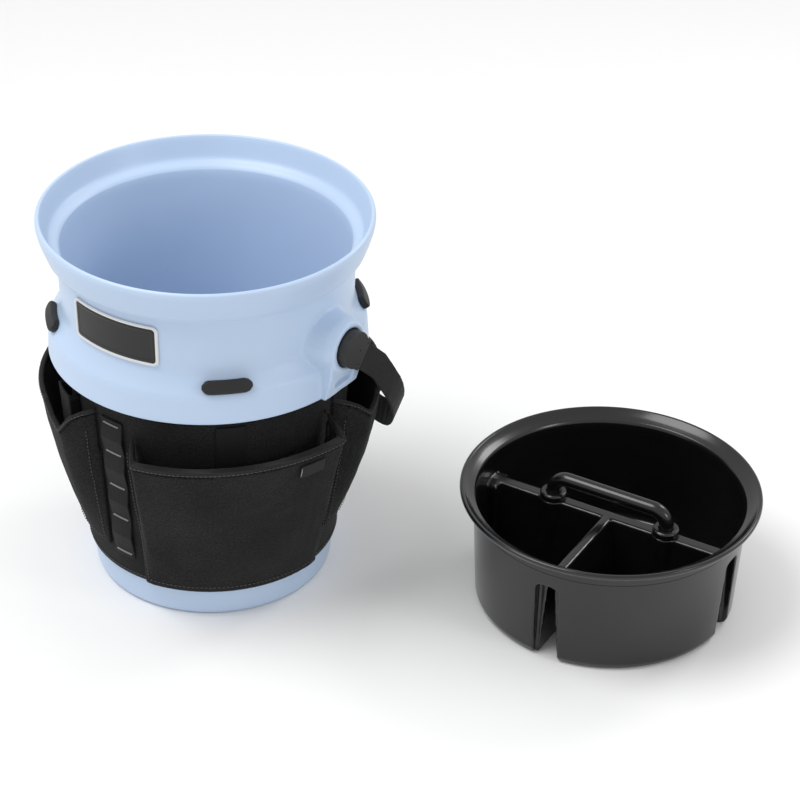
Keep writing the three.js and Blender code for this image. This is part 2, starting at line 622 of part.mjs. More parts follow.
function buildCaddy(group) {
  add(group, "caddy_tub", caddyTub(), blackGloss());
  const handle = caddyHandleSolid();
  add(group, "caddy_handle", handle, blackGloss());
  for (const [name, side] of [["left", -1], ["right", 1]]) {
    const x = (side * LEG_SPACING) / 2;
    const collar = ring([
      [BAR_RADIUS + GAP, DIVIDER_TOP + GAP], [COLLAR_RADIUS, DIVIDER_TOP + GAP],
      [COLLAR_RADIUS, COLLAR_TOP - 1.6], [COLLAR_RADIUS - 1.6, COLLAR_TOP], [BAR_RADIUS + GAP, COLLAR_TOP],
    ], LEG_STEPS);
    add(group, "handle_collar_" + name, collar.translate([x, 0, 0]), blackRubber());
    const [low, high] = [LEG_BOTTOM + 2, LEG_BOTTOM + 6];
    const stop = ring([
      [BAR_RADIUS + GAP, low], [BAR_RADIUS + STOP_REACH, low],
      [BAR_RADIUS + STOP_REACH, high], [BAR_RADIUS + GAP, high],
    ], LEG_STEPS);
    add(group, "leg_stop_" + name, stop.translate([x, 0, 0]), blackRubber());
  }
  group.position.set(CADDY_X, CADDY_Y, 0);
  group.rotation.z = rad(CADDY_TURN);
}

// ---- Assembly -----------------------------------------------------------------------------

const organizer = new THREE.Group();
for (const build of [buildBucket, buildBelt, buildBail, buildCaddy]) {
  const group = new THREE.Group();
  build(group);
  organizer.add(group);
}

export default organizer;
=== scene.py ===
"""Tool bucket organizer: moulded bucket, sewn gear belt, webbing bail and a lift-out caddy.

Metres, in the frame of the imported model. Most pieces are fine copies of the CAD solids they stand for,
with their edges eased. The bucket's body, the caddy's rim and bar, the belt's cloth and tapes, the badge
and all stitching are built here from sections, outlines and routes. The foot ring, the pivot pins and
the leg stops are the CAD's own, with a better material. Every material is procedural.
"""
import math

import bpy
import numpy as np
from mathutils import Matrix, Vector, noise


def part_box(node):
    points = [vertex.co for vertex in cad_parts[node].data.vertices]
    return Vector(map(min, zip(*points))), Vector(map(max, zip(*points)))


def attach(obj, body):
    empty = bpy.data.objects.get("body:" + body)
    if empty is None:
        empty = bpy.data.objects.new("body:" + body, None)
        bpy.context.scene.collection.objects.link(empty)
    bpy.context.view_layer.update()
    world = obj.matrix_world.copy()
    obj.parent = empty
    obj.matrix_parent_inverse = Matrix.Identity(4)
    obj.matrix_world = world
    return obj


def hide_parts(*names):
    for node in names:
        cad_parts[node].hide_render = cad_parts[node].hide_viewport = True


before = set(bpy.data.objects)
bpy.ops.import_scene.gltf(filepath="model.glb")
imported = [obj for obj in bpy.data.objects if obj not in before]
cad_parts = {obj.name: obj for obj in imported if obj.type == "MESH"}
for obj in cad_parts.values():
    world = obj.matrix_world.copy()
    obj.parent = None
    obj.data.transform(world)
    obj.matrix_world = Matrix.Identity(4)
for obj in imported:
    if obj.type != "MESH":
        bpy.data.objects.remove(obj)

MM = 0.001
CAD_STEPS = 40                      # facets of the CAD's round pieces
CADDY_TURN = math.radians(4.6)      # how far the caddy stands turned about its own axis

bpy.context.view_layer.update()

# ---- Camera, light and floor --------------------------------------------------------------------

# The camera solved from the photo.
LENS_MM = 116.6
SENSOR_MM = 36
CAMERA_PLACE = (1.3068, -1.6049, 1.4842)
CAMERA_FORWARD = (-0.4742, 0.6977, -0.5369)
CAMERA_HEADING = math.radians(34.2)
CAMERA_ROLL = 0.021
FAR_CLIP = 50

WORLD_STRENGTH = 0.70
# Each light: its name, where it stands, what it points at, its diameter and its power in watts.
LIGHTS = (
    ("key", (-0.55, -0.75, 2.2), (0.1, 0, 0.15), 1.5, 29),
    ("back", (0.7, 1.6, 1.3), (0.1, 0, 0.25), 0.6, 6),
    ("right", (1.7, 0.1, 0.9), (0.0, 0, 0.3), 0.4, 3),
)
FLOOR_HALF = 12
FLOOR_DROP = 0.0004                 # keeps the floor just clear of the feet
FLOOR_COLOR = (0.93, 0.93, 0.93, 1)
FLOOR_ROUGHNESS = 0.9


def add_camera():
    data = bpy.data.cameras.new("camera")
    data.lens = LENS_MM
    data.sensor_width = SENSOR_MM
    data.clip_end = FAR_CLIP
    obj = bpy.data.objects.new("camera", data)
    bpy.context.scene.collection.objects.link(obj)
    forward = Vector(CAMERA_FORWARD).normalized()
    right = Vector((math.cos(CAMERA_HEADING), math.sin(CAMERA_HEADING), 0))
    up = right.cross(forward).normalized()
    x_axis = right * math.cos(CAMERA_ROLL) + up * math.sin(CAMERA_ROLL)
    y_axis = up * math.cos(CAMERA_ROLL) - right * math.sin(CAMERA_ROLL)
    turn = Matrix((x_axis, y_axis, -forward)).transposed().to_4x4()
    obj.matrix_world = Matrix.Translation(CAMERA_PLACE) @ turn
    bpy.context.scene.camera = obj


def add_light(name, place, aim, size, power):
    data = bpy.data.lights.new(name, "AREA")
    data.shape = "DISK"
    data.size = size
    data.energy = power
    obj = bpy.data.objects.new(name, data)
    bpy.context.scene.collection.objects.link(obj)
    obj.location = place
    obj.rotation_euler = (Vector(aim) - Vector(place)).to_track_quat("-Z", "Y").to_euler()


def add_stage():
    world = bpy.data.worlds.new("studio")
    bpy.context.scene.world = world
    world.use_nodes = True
    background = world.node_tree.nodes["Background"]
    background.inputs["Color"].default_value = (1, 1, 1, 1)
    background.inputs["Strength"].default_value = WORLD_STRENGTH
    for light in LIGHTS:
        add_light(*light)
    mesh = bpy.data.meshes.new("floor")
    corners = [(x * FLOOR_HALF, y * FLOOR_HALF, 0) for x, y in ((-1, -1), (1, -1), (1, 1), (-1, 1))]
    mesh.from_pydata(corners, [], [(0, 1, 2, 3)])
    floor = bpy.data.objects.new("floor", mesh)
    bpy.context.scene.collection.objects.link(floor)
    floor.location.z = -FLOOR_DROP
    material = bpy.data.materials.new("floor_paper")
    material.use_nodes = True
    shader = material.node_tree.nodes["Principled BSDF"]
    shader.inputs["Base Color"].default_value = FLOOR_COLOR
    shader.inputs["Roughness"].default_value = FLOOR_ROUGHNESS
    mesh.materials.append(material)
    view = bpy.context.scene.view_settings
    view.view_transform = "Standard"
    view.exposure = 0.0


# ---- Materials ----------------------------------------------------------------------------------

WEAVE_RADIUS = 0.14                 # the bucket's radius that the weave's pitch is true at


class Nodes:
    """A small helper to write a material's node tree in a few lines."""

    def __init__(self, name):
        self.material = bpy.data.materials.new(name)
        self.material.use_nodes = True
        self.tree = self.material.node_tree
        self.shader = self.tree.nodes["Principled BSDF"]

    def add(self, kind, settings=None, **inputs):
        """A node with its inputs set or linked, each by its name or, as i0 or i1, by its number."""
        node = self.tree.nodes.new(kind)
        for key, value in (settings or {}).items():
            setattr(node, key, value)
        for key, value in inputs.items():
            numbered = key[0] == "i" and key[1:].isdigit()
            socket = node.inputs[int(key[1:])] if numbered else node.inputs[key.replace("_", " ")]
            if isinstance(value, bpy.types.NodeSocket):
                self.tree.links.new(value, socket)
            else:
                socket.default_value = value
        return node

    def math(self, operation, a, b=0.0):
        return self.add("ShaderNodeMath", {"operation": operation}, i0=a, i1=b).outputs[0]

    def place(self):
        """The point on the piece, in metres, as it lies on its object."""
        return self.add("ShaderNodeTexCoord").outputs["Object"]

    def paint(self, value, stops):
        """Sets the base colour from a value, by (position, colour) stops."""
        node = self.add("ShaderNodeValToRGB", i0=value)
        elements = node.color_ramp.elements
        while len(elements) < len(stops):
            elements.new(0.5)
        for element, (position, color) in zip(elements, stops):
            element.position = position
            element.color = (*color, 1)
        self.link(node.outputs["Color"], "Base Color")

    def roughen(self, value, smooth, rough):
        """Sets the roughness from a value of 0 to 1, spread from smooth to rough."""
        node = self.add("ShaderNodeMapRange", Value=value, To_Min=smooth, To_Max=rough)
        self.link(node.outputs["Result"], "Roughness")

    def bump(self, height, strength, distance):
        node = self.add("ShaderNodeBump", Height=height, Strength=strength, Distance=distance)
        self.tree.links.new(node.outputs["Normal"], self.shader.inputs["Normal"])

    def link(self, socket, name):
        self.tree.links.new(socket, self.shader.inputs[name])

    def set(self, name, value):
        self.shader.inputs[name].default_value = value


def scaled(color, factor):
    return tuple(min(1.0, c * factor) for c in color)


def moulded_plastic(name, color, roughness, grain, spread, coat=0.0):
    """Moulded plastic: faint flow marks in the colour, a fine spark-eroded grain, rubbed high spots."""
    n = Nodes(name)
    place = n.place()
    flow = n.add("ShaderNodeTexNoise", Vector=place, Scale=9, Detail=4, Roughness=0.55).outputs["Fac"]
    n.paint(flow, [(0.3, scaled(color, 1 - spread)), (0.7, scaled(color, 1 + spread))])
    smudge = n.add("ShaderNodeTexNoise", Vector=place, Scale=24, Detail=6, Roughness=0.65).outputs["Fac"]
    n.roughen(smudge, roughness - 0.05, roughness + 0.07)
    skin = n.add("ShaderNodeTexNoise", Vector=place, Scale=1500, Detail=2).outputs["Fac"]
    n.bump(skin, grain, 0.0004)
    n.set("IOR", 1.49)
    n.set("Coat Weight", coat)
    n.set("Coat Roughness", 0.12)
    return n.material


def rubber(name, color):
    n = Nodes(name)
    place = n.place()
    dust = n.add("ShaderNodeTexNoise", Vector=place, Scale=60, Detail=5, Roughness=0.7).outputs["Fac"]
    n.paint(dust, [(0.35, color), (0.75, scaled(color, 1.5))])
    n.roughen(dust, 0.48, 0.66)
    pores = n.add("ShaderNodeTexNoise", Vector=place, Scale=1800, Detail=2).outputs["Fac"]
    n.bump(pores, 0.12, 0.0003)
    n.set("IOR", 1.5)
    return n.material


def round_cloth(n):
    """Coordinates that run round the bucket and up it, both in metres."""
    parts = n.add("ShaderNodeSeparateXYZ", Vector=n.place()).outputs
    angle = n.math("ARCTAN2", parts["Y"], parts["X"])
    along = n.math("MULTIPLY", angle, WEAVE_RADIUS)
    return n.add("ShaderNodeCombineXYZ", X=along, Y=parts["Z"]).outputs["Vector"]


def woven(name, color, pitch, weave_depth, lift, sheen):
    """Plain weave of coarse yarn: two crossed sets of ridges, slubs in the yarn and a dusty bloom on top."""
    n = Nodes(name)
    cloth = round_cloth(n)
    turns = 2 * math.pi / pitch
    parts = n.add("ShaderNodeSeparateXYZ", Vector=cloth).outputs
    warp = n.math("SINE", n.math("MULTIPLY", parts["X"], turns))
    weft = n.math("SINE", n.math("MULTIPLY", parts["Y"], turns))
    crossing = n.math("MULTIPLY", warp, weft)
    slub = n.add("ShaderNodeTexNoise", Vector=cloth, Scale=420, Detail=3, Roughness=0.7).outputs["Fac"]
    height = n.math("ADD", n.math("MULTIPLY", crossing, 0.35), slub)
    patches = n.add("ShaderNodeTexNoise", Vector=cloth, Scale=14, Detail=5, Roughness=0.6).outputs["Fac"]
    tone = n.math("ADD", n.math("MULTIPLY", height, 0.6), n.math("MULTIPLY", patches, 0.4))
    n.paint(tone, [(0.38, scaled(color, 0.35)), (0.5, color), (0.64, scaled(color, lift))])
    n.roughen(patches, 0.78, 0.95)
    n.bump(height, weave_depth, 0.0006)
    n.set("Sheen Weight", sheen)
    n.set("Sheen Roughness", 0.5)
    n.set("Specular IOR Level", 0.14)
    return n.material


def webbing(name, color, rib):
    """Flat webbing: close ribs across the tape and a little fuzz."""
    n = Nodes(name)
    cloth = round_cloth(n)
    parts = n.add("ShaderNodeSeparateXYZ", Vector=cloth).outputs
    ribs = n.math("SINE", n.math("MULTIPLY", parts["Y"], 2 * math.pi / rib))
    fuzz = n.add("ShaderNodeTexNoise", Vector=n.place(), Scale=650, Detail=4, Roughness=0.7).outputs["Fac"]
    height = n.math("ADD", n.math("MULTIPLY", ribs, 0.3), fuzz)
    n.paint(height, [(0.3, scaled(color, 0.6)), (0.6, color), (0.85, scaled(color, 1.7))])
    wear = n.add("ShaderNodeTexNoise", Vector=n.place(), Scale=30, Detail=4).outputs["Fac"]
    n.roughen(wear, 0.6, 0.82)
    n.bump(height, 0.45, 0.0005)
    n.set("Sheen Weight", 0.05)
    n.set("Sheen Roughness", 0.5)
    n.set("Specular IOR Level", 0.2)
    return n.material


def thread(name, color):
    n = Nodes(name)
    twist = n.add("ShaderNodeTexNoise", Vector=n.place(), Scale=1600, Detail=2).outputs["Fac"]
    n.paint(twist, [(0.3, scaled(color, 0.6)), (0.7, color)])
    n.roughen(twist, 0.5, 0.7)
    n.bump(twist, 0.4, 0.0003)
    return n.material


def metal(name, color, roughness):
    n = Nodes(name)
    turned = n.add("ShaderNodeTexNoise", Vector=n.place(), Scale=300, Detail=4, Roughness=0.6).outputs["Fac"]
    n.paint(turned, [(0.3, scaled(color, 0.85)), (0.7, color)])
    n.roughen(turned, roughness, roughness + 0.15)
    n.bump(turned, 0.08, 0.0002)
    n.set("Metallic", 1.0)
    return n.material


BLUE = moulded_plastic("sky_blue_shell", (0.49, 0.615, 0.80), 0.36, grain=0.05, spread=0.015)
RUBBER = rubber("black_rubber", (0.006, 0.006, 0.0065))
CAP = moulded_plastic("black_cap", (0.016, 0.0155, 0.015), 0.5, grain=0.15, spread=0.15)
GLOSS = moulded_plastic(
    "black_gloss_plastic", (0.005, 0.005, 0.0053), 0.22, grain=0.03, spread=0.12, coat=0.25)
CLOTH = woven("black_coated_weave", (0.0085, 0.0085, 0.0088), 0.0022, 0.8, 3.4, sheen=0.04)
LINING = woven("black_lining", (0.009, 0.009, 0.0093), 0.0018, 0.7, 3.0, sheen=0.05)
TAPE = webbing("black_binding_tape", (0.016, 0.016, 0.0165), 0.0012)
STRAP = webbing("black_bail_webbing", (0.0075, 0.0074, 0.0074), 0.0015)
# Light grey thread for the bartacks; the same material also makes the painted highlight on the tab's folded
# edge.
GREY_THREAD_AND_PAINTED_HIGHLIGHT = thread("grey_thread_and_painted_highlight", (0.33, 0.33, 0.34))
DARK_THREAD = thread("dark_thread", (0.075, 0.075, 0.08))
BADGE = moulded_plastic("badge_black", (0.007, 0.007, 0.0075), 0.48, grain=0.05, spread=0.1)
SILVER = moulded_plastic("silver_rim", (0.70, 0.71, 0.72), 0.35, grain=0.05, spread=0.04)
STEEL = metal("turned_steel", (0.6, 0.61, 0.63), 0.25)

# ---- Meshes -------------------------------------------------------------------------------------

SMOOTH_IN, SMOOTH_OUT = 0.5, -0.52  # a step inward, then one a little longer back out
# A stitch's rings from end to end: how far along it, how thick, and how high it stands.
STITCH_FORM = ((0, 0.35, -0.6), (0.2, 1, 0.3), (0.5, 1.05, 0.6), (0.8, 1, 0.3), (1, 0.35, -0.6))
STITCH_SIDES = 6


def new_object(name, vertices, faces, material):
    mesh = bpy.data.meshes.new(name)
    mesh.from_pydata([tuple(v) for v in vertices], [], faces)
    mesh.validate()
    mesh.update()
    obj = bpy.data.objects.new(name, mesh)
    bpy.context.scene.collection.objects.link(obj)
    mesh.materials.append(material)
    mesh.shade_smooth()
    return obj


def apply_modifiers(obj):
    graph = bpy.context.evaluated_depsgraph_get()
    made = bpy.data.meshes.new_from_object(obj.evaluated_get(graph))
    obj.modifiers.clear()
    old = obj.data
    obj.data = made
    bpy.data.meshes.remove(old)


def points_of(obj):
    flat = np.empty(len(obj.data.vertices) * 3)
    obj.data.vertices.foreach_get("co", flat)
    return flat.reshape(-1, 3)


def set_points(obj, points):
    obj.data.vertices.foreach_set("co", points.ravel())
    obj.data.update()


def round_off(points, centre, turn):
    """Lifts the CAD's flat facets out to the true circle that their corners lie on."""
    x = points[:, 0] - centre[0]
    y = points[:, 1] - centre[1]
    angle = np.arctan2(y, x) - turn
    facet = 2 * math.pi / CAD_STEPS
    off = np.mod(angle, facet) - facet / 2
    grown = np.cos(off) / math.cos(facet / 2)
    points[:, 0] = centre[0] + x * grown
    points[:, 1] = centre[1] + y * grown


def relax(obj, rounds, weight=None):
    """Low-pass smoothing that rounds small edges off and keeps the piece's bulk."""
    mesh = obj.data
    edges = np.empty(len(mesh.edges) * 2, dtype=np.int64)
    mesh.edges.foreach_get("vertices", edges)
    first, second = edges[0::2], edges[1::2]
    points = points_of(obj)
    count = len(points)
    neighbours = np.bincount(first, minlength=count) + np.bincount(second, minlength=count)
    neighbours = np.maximum(neighbours, 1)[:, None]
    share = np.ones((count, 1)) if weight is None else weight(points)[:, None]
    for step in (SMOOTH_IN, SMOOTH_OUT) * rounds:
        total = np.empty_like(points)
        for k in range(3):
            total[:, k] = (np.bincount(first, points[second, k], count)
                           + np.bincount(second, points[first, k], count))
        points = points + step * share * (total / neighbours - points)
    set_points(obj, points)


def grown_from(node, name, material, voxel, rounds, centre=None, turn=0.0, stands_for=True):
    """A fine copy of a CAD node's solid, eased all over; it stands for the node unless told not to."""
    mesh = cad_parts[node].data.copy()
    obj = bpy.data.objects.new(name, mesh)
    bpy.context.scene.collection.objects.link(obj)
    mesh.materials.clear()
    mesh.materials.append(material)
    remesh = obj.modifiers.new("remesh", "REMESH")
    remesh.mode = "VOXEL"
    remesh.voxel_size = voxel
    remesh.use_smooth_shade = True
    apply_modifiers(obj)
    if centre is not None:
        points = points_of(obj)
        round_off(points, centre, turn)
        set_points(obj, points)
    relax(obj, rounds)
    obj.data.shade_smooth()
    if stands_for:
        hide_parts(node)
    return obj


def wrinkle(obj, size, depth, seed):
    """Pushes cloth in and out a little along the bucket's radius, as if it had been handled."""
    points = points_of(obj)
    for i, p in enumerate(points):
        where = Vector((p[0] / size, p[1] / size, p[2] / size + seed))
        push = depth * noise.noise(where)
        radius = math.hypot(p[0], p[1])
        points[i, 0] += p[0] / radius * push
        points[i, 1] += p[1] / radius * push
    set_points(obj, points)


def polar(radius, azimuth, z):
    angle = math.radians(azimuth)
    return np.array((radius * math.cos(angle), radius * math.sin(angle), z))


def azimuths_of(points):
    return np.degrees(np.arctan2(points[:, 1], points[:, 0]))


def degrees_apart(azimuths, azimuth):
    return np.abs((azimuths - azimuth + 180) % 360 - 180)


def tube_faces(first, rings, sides):
    """The faces of a capped tube, whose rings of vertices follow one another from number first."""
    faces = []
    for ring in range(rings - 1):
        low = first + ring * sides
        for k in range(sides):
            after = (k + 1) % sides
            faces.append((low + k, low + after, low + sides + after, low + sides + k))
    last = first + (rings - 1) * sides
    faces.append(tuple(first + k for k in reversed(range(sides))))
    faces.append(tuple(last + k for k in range(sides)))
    return faces


def stitch_row(name, route, material, length=2.6 * MM, gap=1.5 * MM, radius=0.42 * MM, lift=0.1 * MM):
    """A row of stitches along a route of (point, outward normal) pairs."""
    vertices = []
    faces = []
    points = [np.array(p) for p, _ in route]
    normals = [np.array(n) for _, n in route]
    steps = [np.linalg.norm(b - a) for a, b in zip(points, points[1:])]
    marks = np.concatenate([[0], np.cumsum(steps)])

    def at(distance):
        i = min(len(steps) - 1, int(np.searchsorted(marks, distance, side="right")) - 1)
        t = (distance - marks[i]) / max(steps[i], 1e-9)
        return points[i] + t * (points[i + 1] - points[i]), normals[i] + t * (normals[i + 1] - normals[i])

    distance = gap
    while distance + length < marks[-1]:
        (a, normal), (b, _) = at(distance), at(distance + length)
        normal = normal / np.linalg.norm(normal)
        along = (b - a) / np.linalg.norm(b - a)
        side = np.cross(along, normal)
        first = len(vertices)
        for share, width, rise in STITCH_FORM:
            middle = a + share * (b - a) + normal * (lift + radius * rise * 0.5)
            for k in range(STITCH_SIDES):
                turn = 2 * math.pi * k / STITCH_SIDES
                vertices.append(middle + radius * width * (math.cos(turn) * side + math.sin(turn) * normal))
        faces += tube_faces(first, len(STITCH_FORM), STITCH_SIDES)
        distance += length + gap
    return new_object(name, vertices, faces, material)


def outline(width, height, corner, steps=10, across=24, upright=8):
    """A rounded rectangle round the origin, in the same number of (u, v) points at any size."""
    corners = []
    for cx, cy, start in ((1, 1, 0), (-1, 1, 90), (-1, -1, 180), (1, -1, 270)):
        bend = []
        for i in range(steps + 1):
            turn = math.radians(start + 90 * i / steps)
            bend.append((
                cx * (width / 2 - corner) + corner * math.cos(turn),
                cy * (height / 2 - corner) + corner * math.sin(turn),
            ))
        corners.append(bend)
    points = []
    for side, bend in enumerate(corners):
        points += bend
        count = across if side % 2 == 0 else upright
        a, b = bend[-1], corners[(side + 1) % 4][0]
        for i in range(1, count):
            points.append((a[0] + (b[0] - a[0]) * i / count, a[1] + (b[1] - a[1]) * i / count))
    return points


def plate(name, levels, to_space, material, frame_shaped=False):
    """A plate built up from (width, height, corner, lift) outlines, each laid on a surface by to_space.

    Its top is closed by a last face, or, for a frame, the last outline is joined back to the first.
    """
    vertices = []
    faces = []
    for width, height, corner, lift in levels:
        loop = outline(width, height, corner)
        vertices += [to_space(u, v, lift) for u, v in loop]
    count = len(loop)
    for row in range(len(levels) - (0 if frame_shaped else 1)):
        low = row * count
        high = (row + 1) % len(levels) * count
        for k in range(count):
            after = (k + 1) % count
            faces.append((low + k, low + after, high + after, high + k))
    if not frame_shaped:
        faces.append(tuple(range(len(vertices) - count, len(vertices))))
    return new_object(name, vertices, faces, material)


# ---- The bucket ---------------------------------------------------------------------------------

# The moulding's section, (radius, height) in millimetres: up the outside and down the inside.
SECTION = [
    (108.6, 0), (111.2, 0.9), (112.8, 2.8), (113.6, 5.4), (131.3, 257), (132.6, 260.4),
    (141, 260.4), (143.4, 257.4), (144.6, 235.6), (146.4, 235), (148, 235.3), (148.6, 236.6),
    (147.2, 259.6), (145.9, 264), (141.6, 269.6), (137.8, 275.4), (135.6, 279.6), (134.9, 284),
    (136.1, 332), (137.4, 335.6), (140.8, 337.8), (145.4, 339.4), (146.5, 341), (149.8, 350),
    (152.3, 357.6), (153.6, 363), (154, 366.6), (153.5, 369.4), (151.7, 371), (149.9, 370.2),
    (149, 367.6), (143.2, 351.4), (141.4, 349), (135.4, 345.6), (133.2, 343), (132.2, 337),
    (110.7, 16), (108.4, 9.6), (105, 6.6), (99, 5.5), (0, 5.5),
]
PIVOT_Z = 0.2835
BOSS_REACH = 0.052                  # the moulding is plainly turned beyond this from the pivot axis
SEAM_OVERLAP = 0.008                # how far the boss's mesh runs on past the edge of the turned one
BLEND_FROM = BOSS_REACH * 0.72      # from here the boss's mesh changes to the turned section,
BLEND_OVER = BOSS_REACH * 0.28      # over this distance
WEB_STRETCH = 0.86                  # distances below the pivot count less, to take in the web there
INSIDE_RADIUS = 133.5 * MM          # vertices within this radius count as far from any boss
FAR_AWAY = 1.0
SHARP_TURN = math.radians(7)        # a section gets a new row where it has turned by this much
NEAREST_BATCH = 4000                # vertices looked up at a time, to spare memory


def on_bucket(*pieces):
    for piece in pieces:
        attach(piece, "bucket")


def eased(section, ease=0.4 * MM, passes=4):
    """A section as close points, its corners eased by averaging each with its neighbours."""
    coarse = np.array(section) * MM
    steps = np.linalg.norm(np.diff(coarse, axis=0), axis=1)
    marks = np.concatenate([[0], np.cumsum(steps)])
    fine = np.arange(0, marks[-1], ease)
    line = np.column_stack([np.interp(fine, marks, coarse[:, 0]), np.interp(fine, marks, coarse[:, 1])])
    for _ in range(passes):
        line[1:-1] = (line[:-2] + 2 * line[1:-1] + line[2:]) / 4
    return np.vstack([line, coarse[-1]])


def turned(name, section, material, centre=(0.0, 0.0), steps=256, longest=4 * MM):
    """A surface turned about Z through an eased section, with close rows round each corner."""
    line = eased(section)
    rows = [line[0]]
    heading = None
    for before, here in zip(line, line[1:]):
        step = here - before
        turn = math.atan2(step[1], step[0])
        if heading is None:
            heading = turn
        bent = abs((turn - heading + math.pi) % (2 * math.pi) - math.pi)
        if bent > SHARP_TURN or np.linalg.norm(here - rows[-1]) > longest:
            rows.append(before)
            heading = turn
    rows.append(line[-1])
    vertices = []
    for i in range(steps):
        turn = 2 * math.pi * i / steps
        for radius, z in rows:
            x = centre[0] + radius * math.cos(turn)
            y = centre[1] + radius * math.sin(turn)
            vertices.append((x, y, z))
    faces = []
    count = len(rows)
    for i in range(steps):
        here, after = i * count, (i + 1) % steps * count
        for k in range(count - 1):
            faces.append((here + k, after + k, after + k + 1, here + k + 1))
    return new_object(name, vertices, faces, material)


def keep_faces(obj, wanted):
    """Keeps only the faces whose corners are all wanted; wanted has one flag for each vertex."""
    mesh = obj.data
    points = points_of(obj)
    faces = [tuple(face.vertices) for face in mesh.polygons]
    faces = [face for face in faces if all(wanted[v] for v in face)]
    used = np.unique(np.array([v for face in faces for v in face]))
    number = np.full(len(points), -1)
    number[used] = np.arange(len(used))
    trimmed = bpy.data.meshes.new(obj.name)
    renumbered = [tuple(int(number[v]) for v in face) for face in faces]
    trimmed.from_pydata(points[used].tolist(), [], renumbered)
    trimmed.materials.append(mesh.materials[0])
    obj.data = trimmed
    bpy.data.meshes.remove(mesh)
    trimmed.shade_smooth()


def boss_distance(points):
    """How far a vertex is from the nearer pivot axis, stretched to take in the web under the boss."""
    below = points[:, 2] < PIVOT_Z
    height = np.where(below, (PIVOT_Z - points[:, 2]) * WEB_STRETCH, points[:, 2] - PIVOT_Z)
    away = np.hypot(points[:, 1], height)
    inside = np.hypot(points[:, 0], points[:, 1]) < INSIDE_RADIUS
    return np.where(inside, FAR_AWAY, away)


def far_from_bosses(points):
    """1 where the moulding is plainly turned, 0 at the bosses and webs, with a soft change between."""
    return np.clip((boss_distance(points) - BLEND_FROM) / BLEND_OVER, 0, 1)


def set_on_section(obj, section, share, trust=2.2 * MM):
    """Moves vertices on to the eased section, each by its share, where they lie near it already."""
    line = eased(section)
    points = points_of(obj)
    moving = np.nonzero(share > 0)[0]
    x = points[moving, 0]
    y = points[moving, 1]
    radius = np.hypot(x, y)
    nearest = np.empty((len(moving), 2))
    for low in range(0, len(moving), NEAREST_BATCH):
        part = slice(low, low + NEAREST_BATCH)
        gap = (radius[part, None] - line[None, :, 0]) ** 2
        gap += (points[moving[part], 2][:, None] - line[None, :, 1]) ** 2
        nearest[part] = line[gap.argmin(axis=1)]
    miss = np.hypot(nearest[:, 0] - radius, nearest[:, 1] - points[moving, 2])
    amount = share[moving] * (miss < trust)
    scale = 1 + amount * (nearest[:, 0] / np.maximum(radius, 1e-6) - 1)
    points[moving, 0] = x * scale
    points[moving, 1] = y * scale
    points[moving, 2] += amount * (nearest[:, 1] - points[moving, 2])
    set_points(obj, points)


def build_bucket():
    body = turned("moulded_bucket", SECTION, BLUE)
    keep_faces(body, boss_distance(points_of(body)) > BOSS_REACH)
    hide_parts("bucket_shell")
    bosses = grown_from(
        "bucket_shell", "moulded_bosses", BLUE, 1.4 * MM, 3, centre=(0, 0), stands_for=False)
    keep_faces(bosses, boss_distance(points_of(bosses)) < BOSS_REACH + SEAM_OVERLAP)
    set_on_section(bosses, SECTION, far_from_bosses(points_of(bosses)))
    relax(bosses, 5, weight=lambda points: 1 - far_from_bosses(points))
    on_bucket(body, bosses)
    for place in ("front_right", "front_left", "rear_left", "rear_right"):
        plug = grown_from(f"shoulder_plug_{place}", f"rubber_plug_{place}", RUBBER, 0.8 * MM, 5)
        on_bucket(plug)
    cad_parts["foot_ring"].data.materials[0] = RUBBER
    for side in ("right", "left"):
        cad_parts[f"pivot_pin_{side}"].data.materials[0] = STEEL


NECK_LEAN = 0.025                   # how much the neck's radius grows for each metre of height
BADGE_STAND_OFF = 2.2 * MM          # from the neck's surface to the front of the badge's box
BADGE_RIM = 3.0 * MM
BADGE_GAP = 0.2 * MM


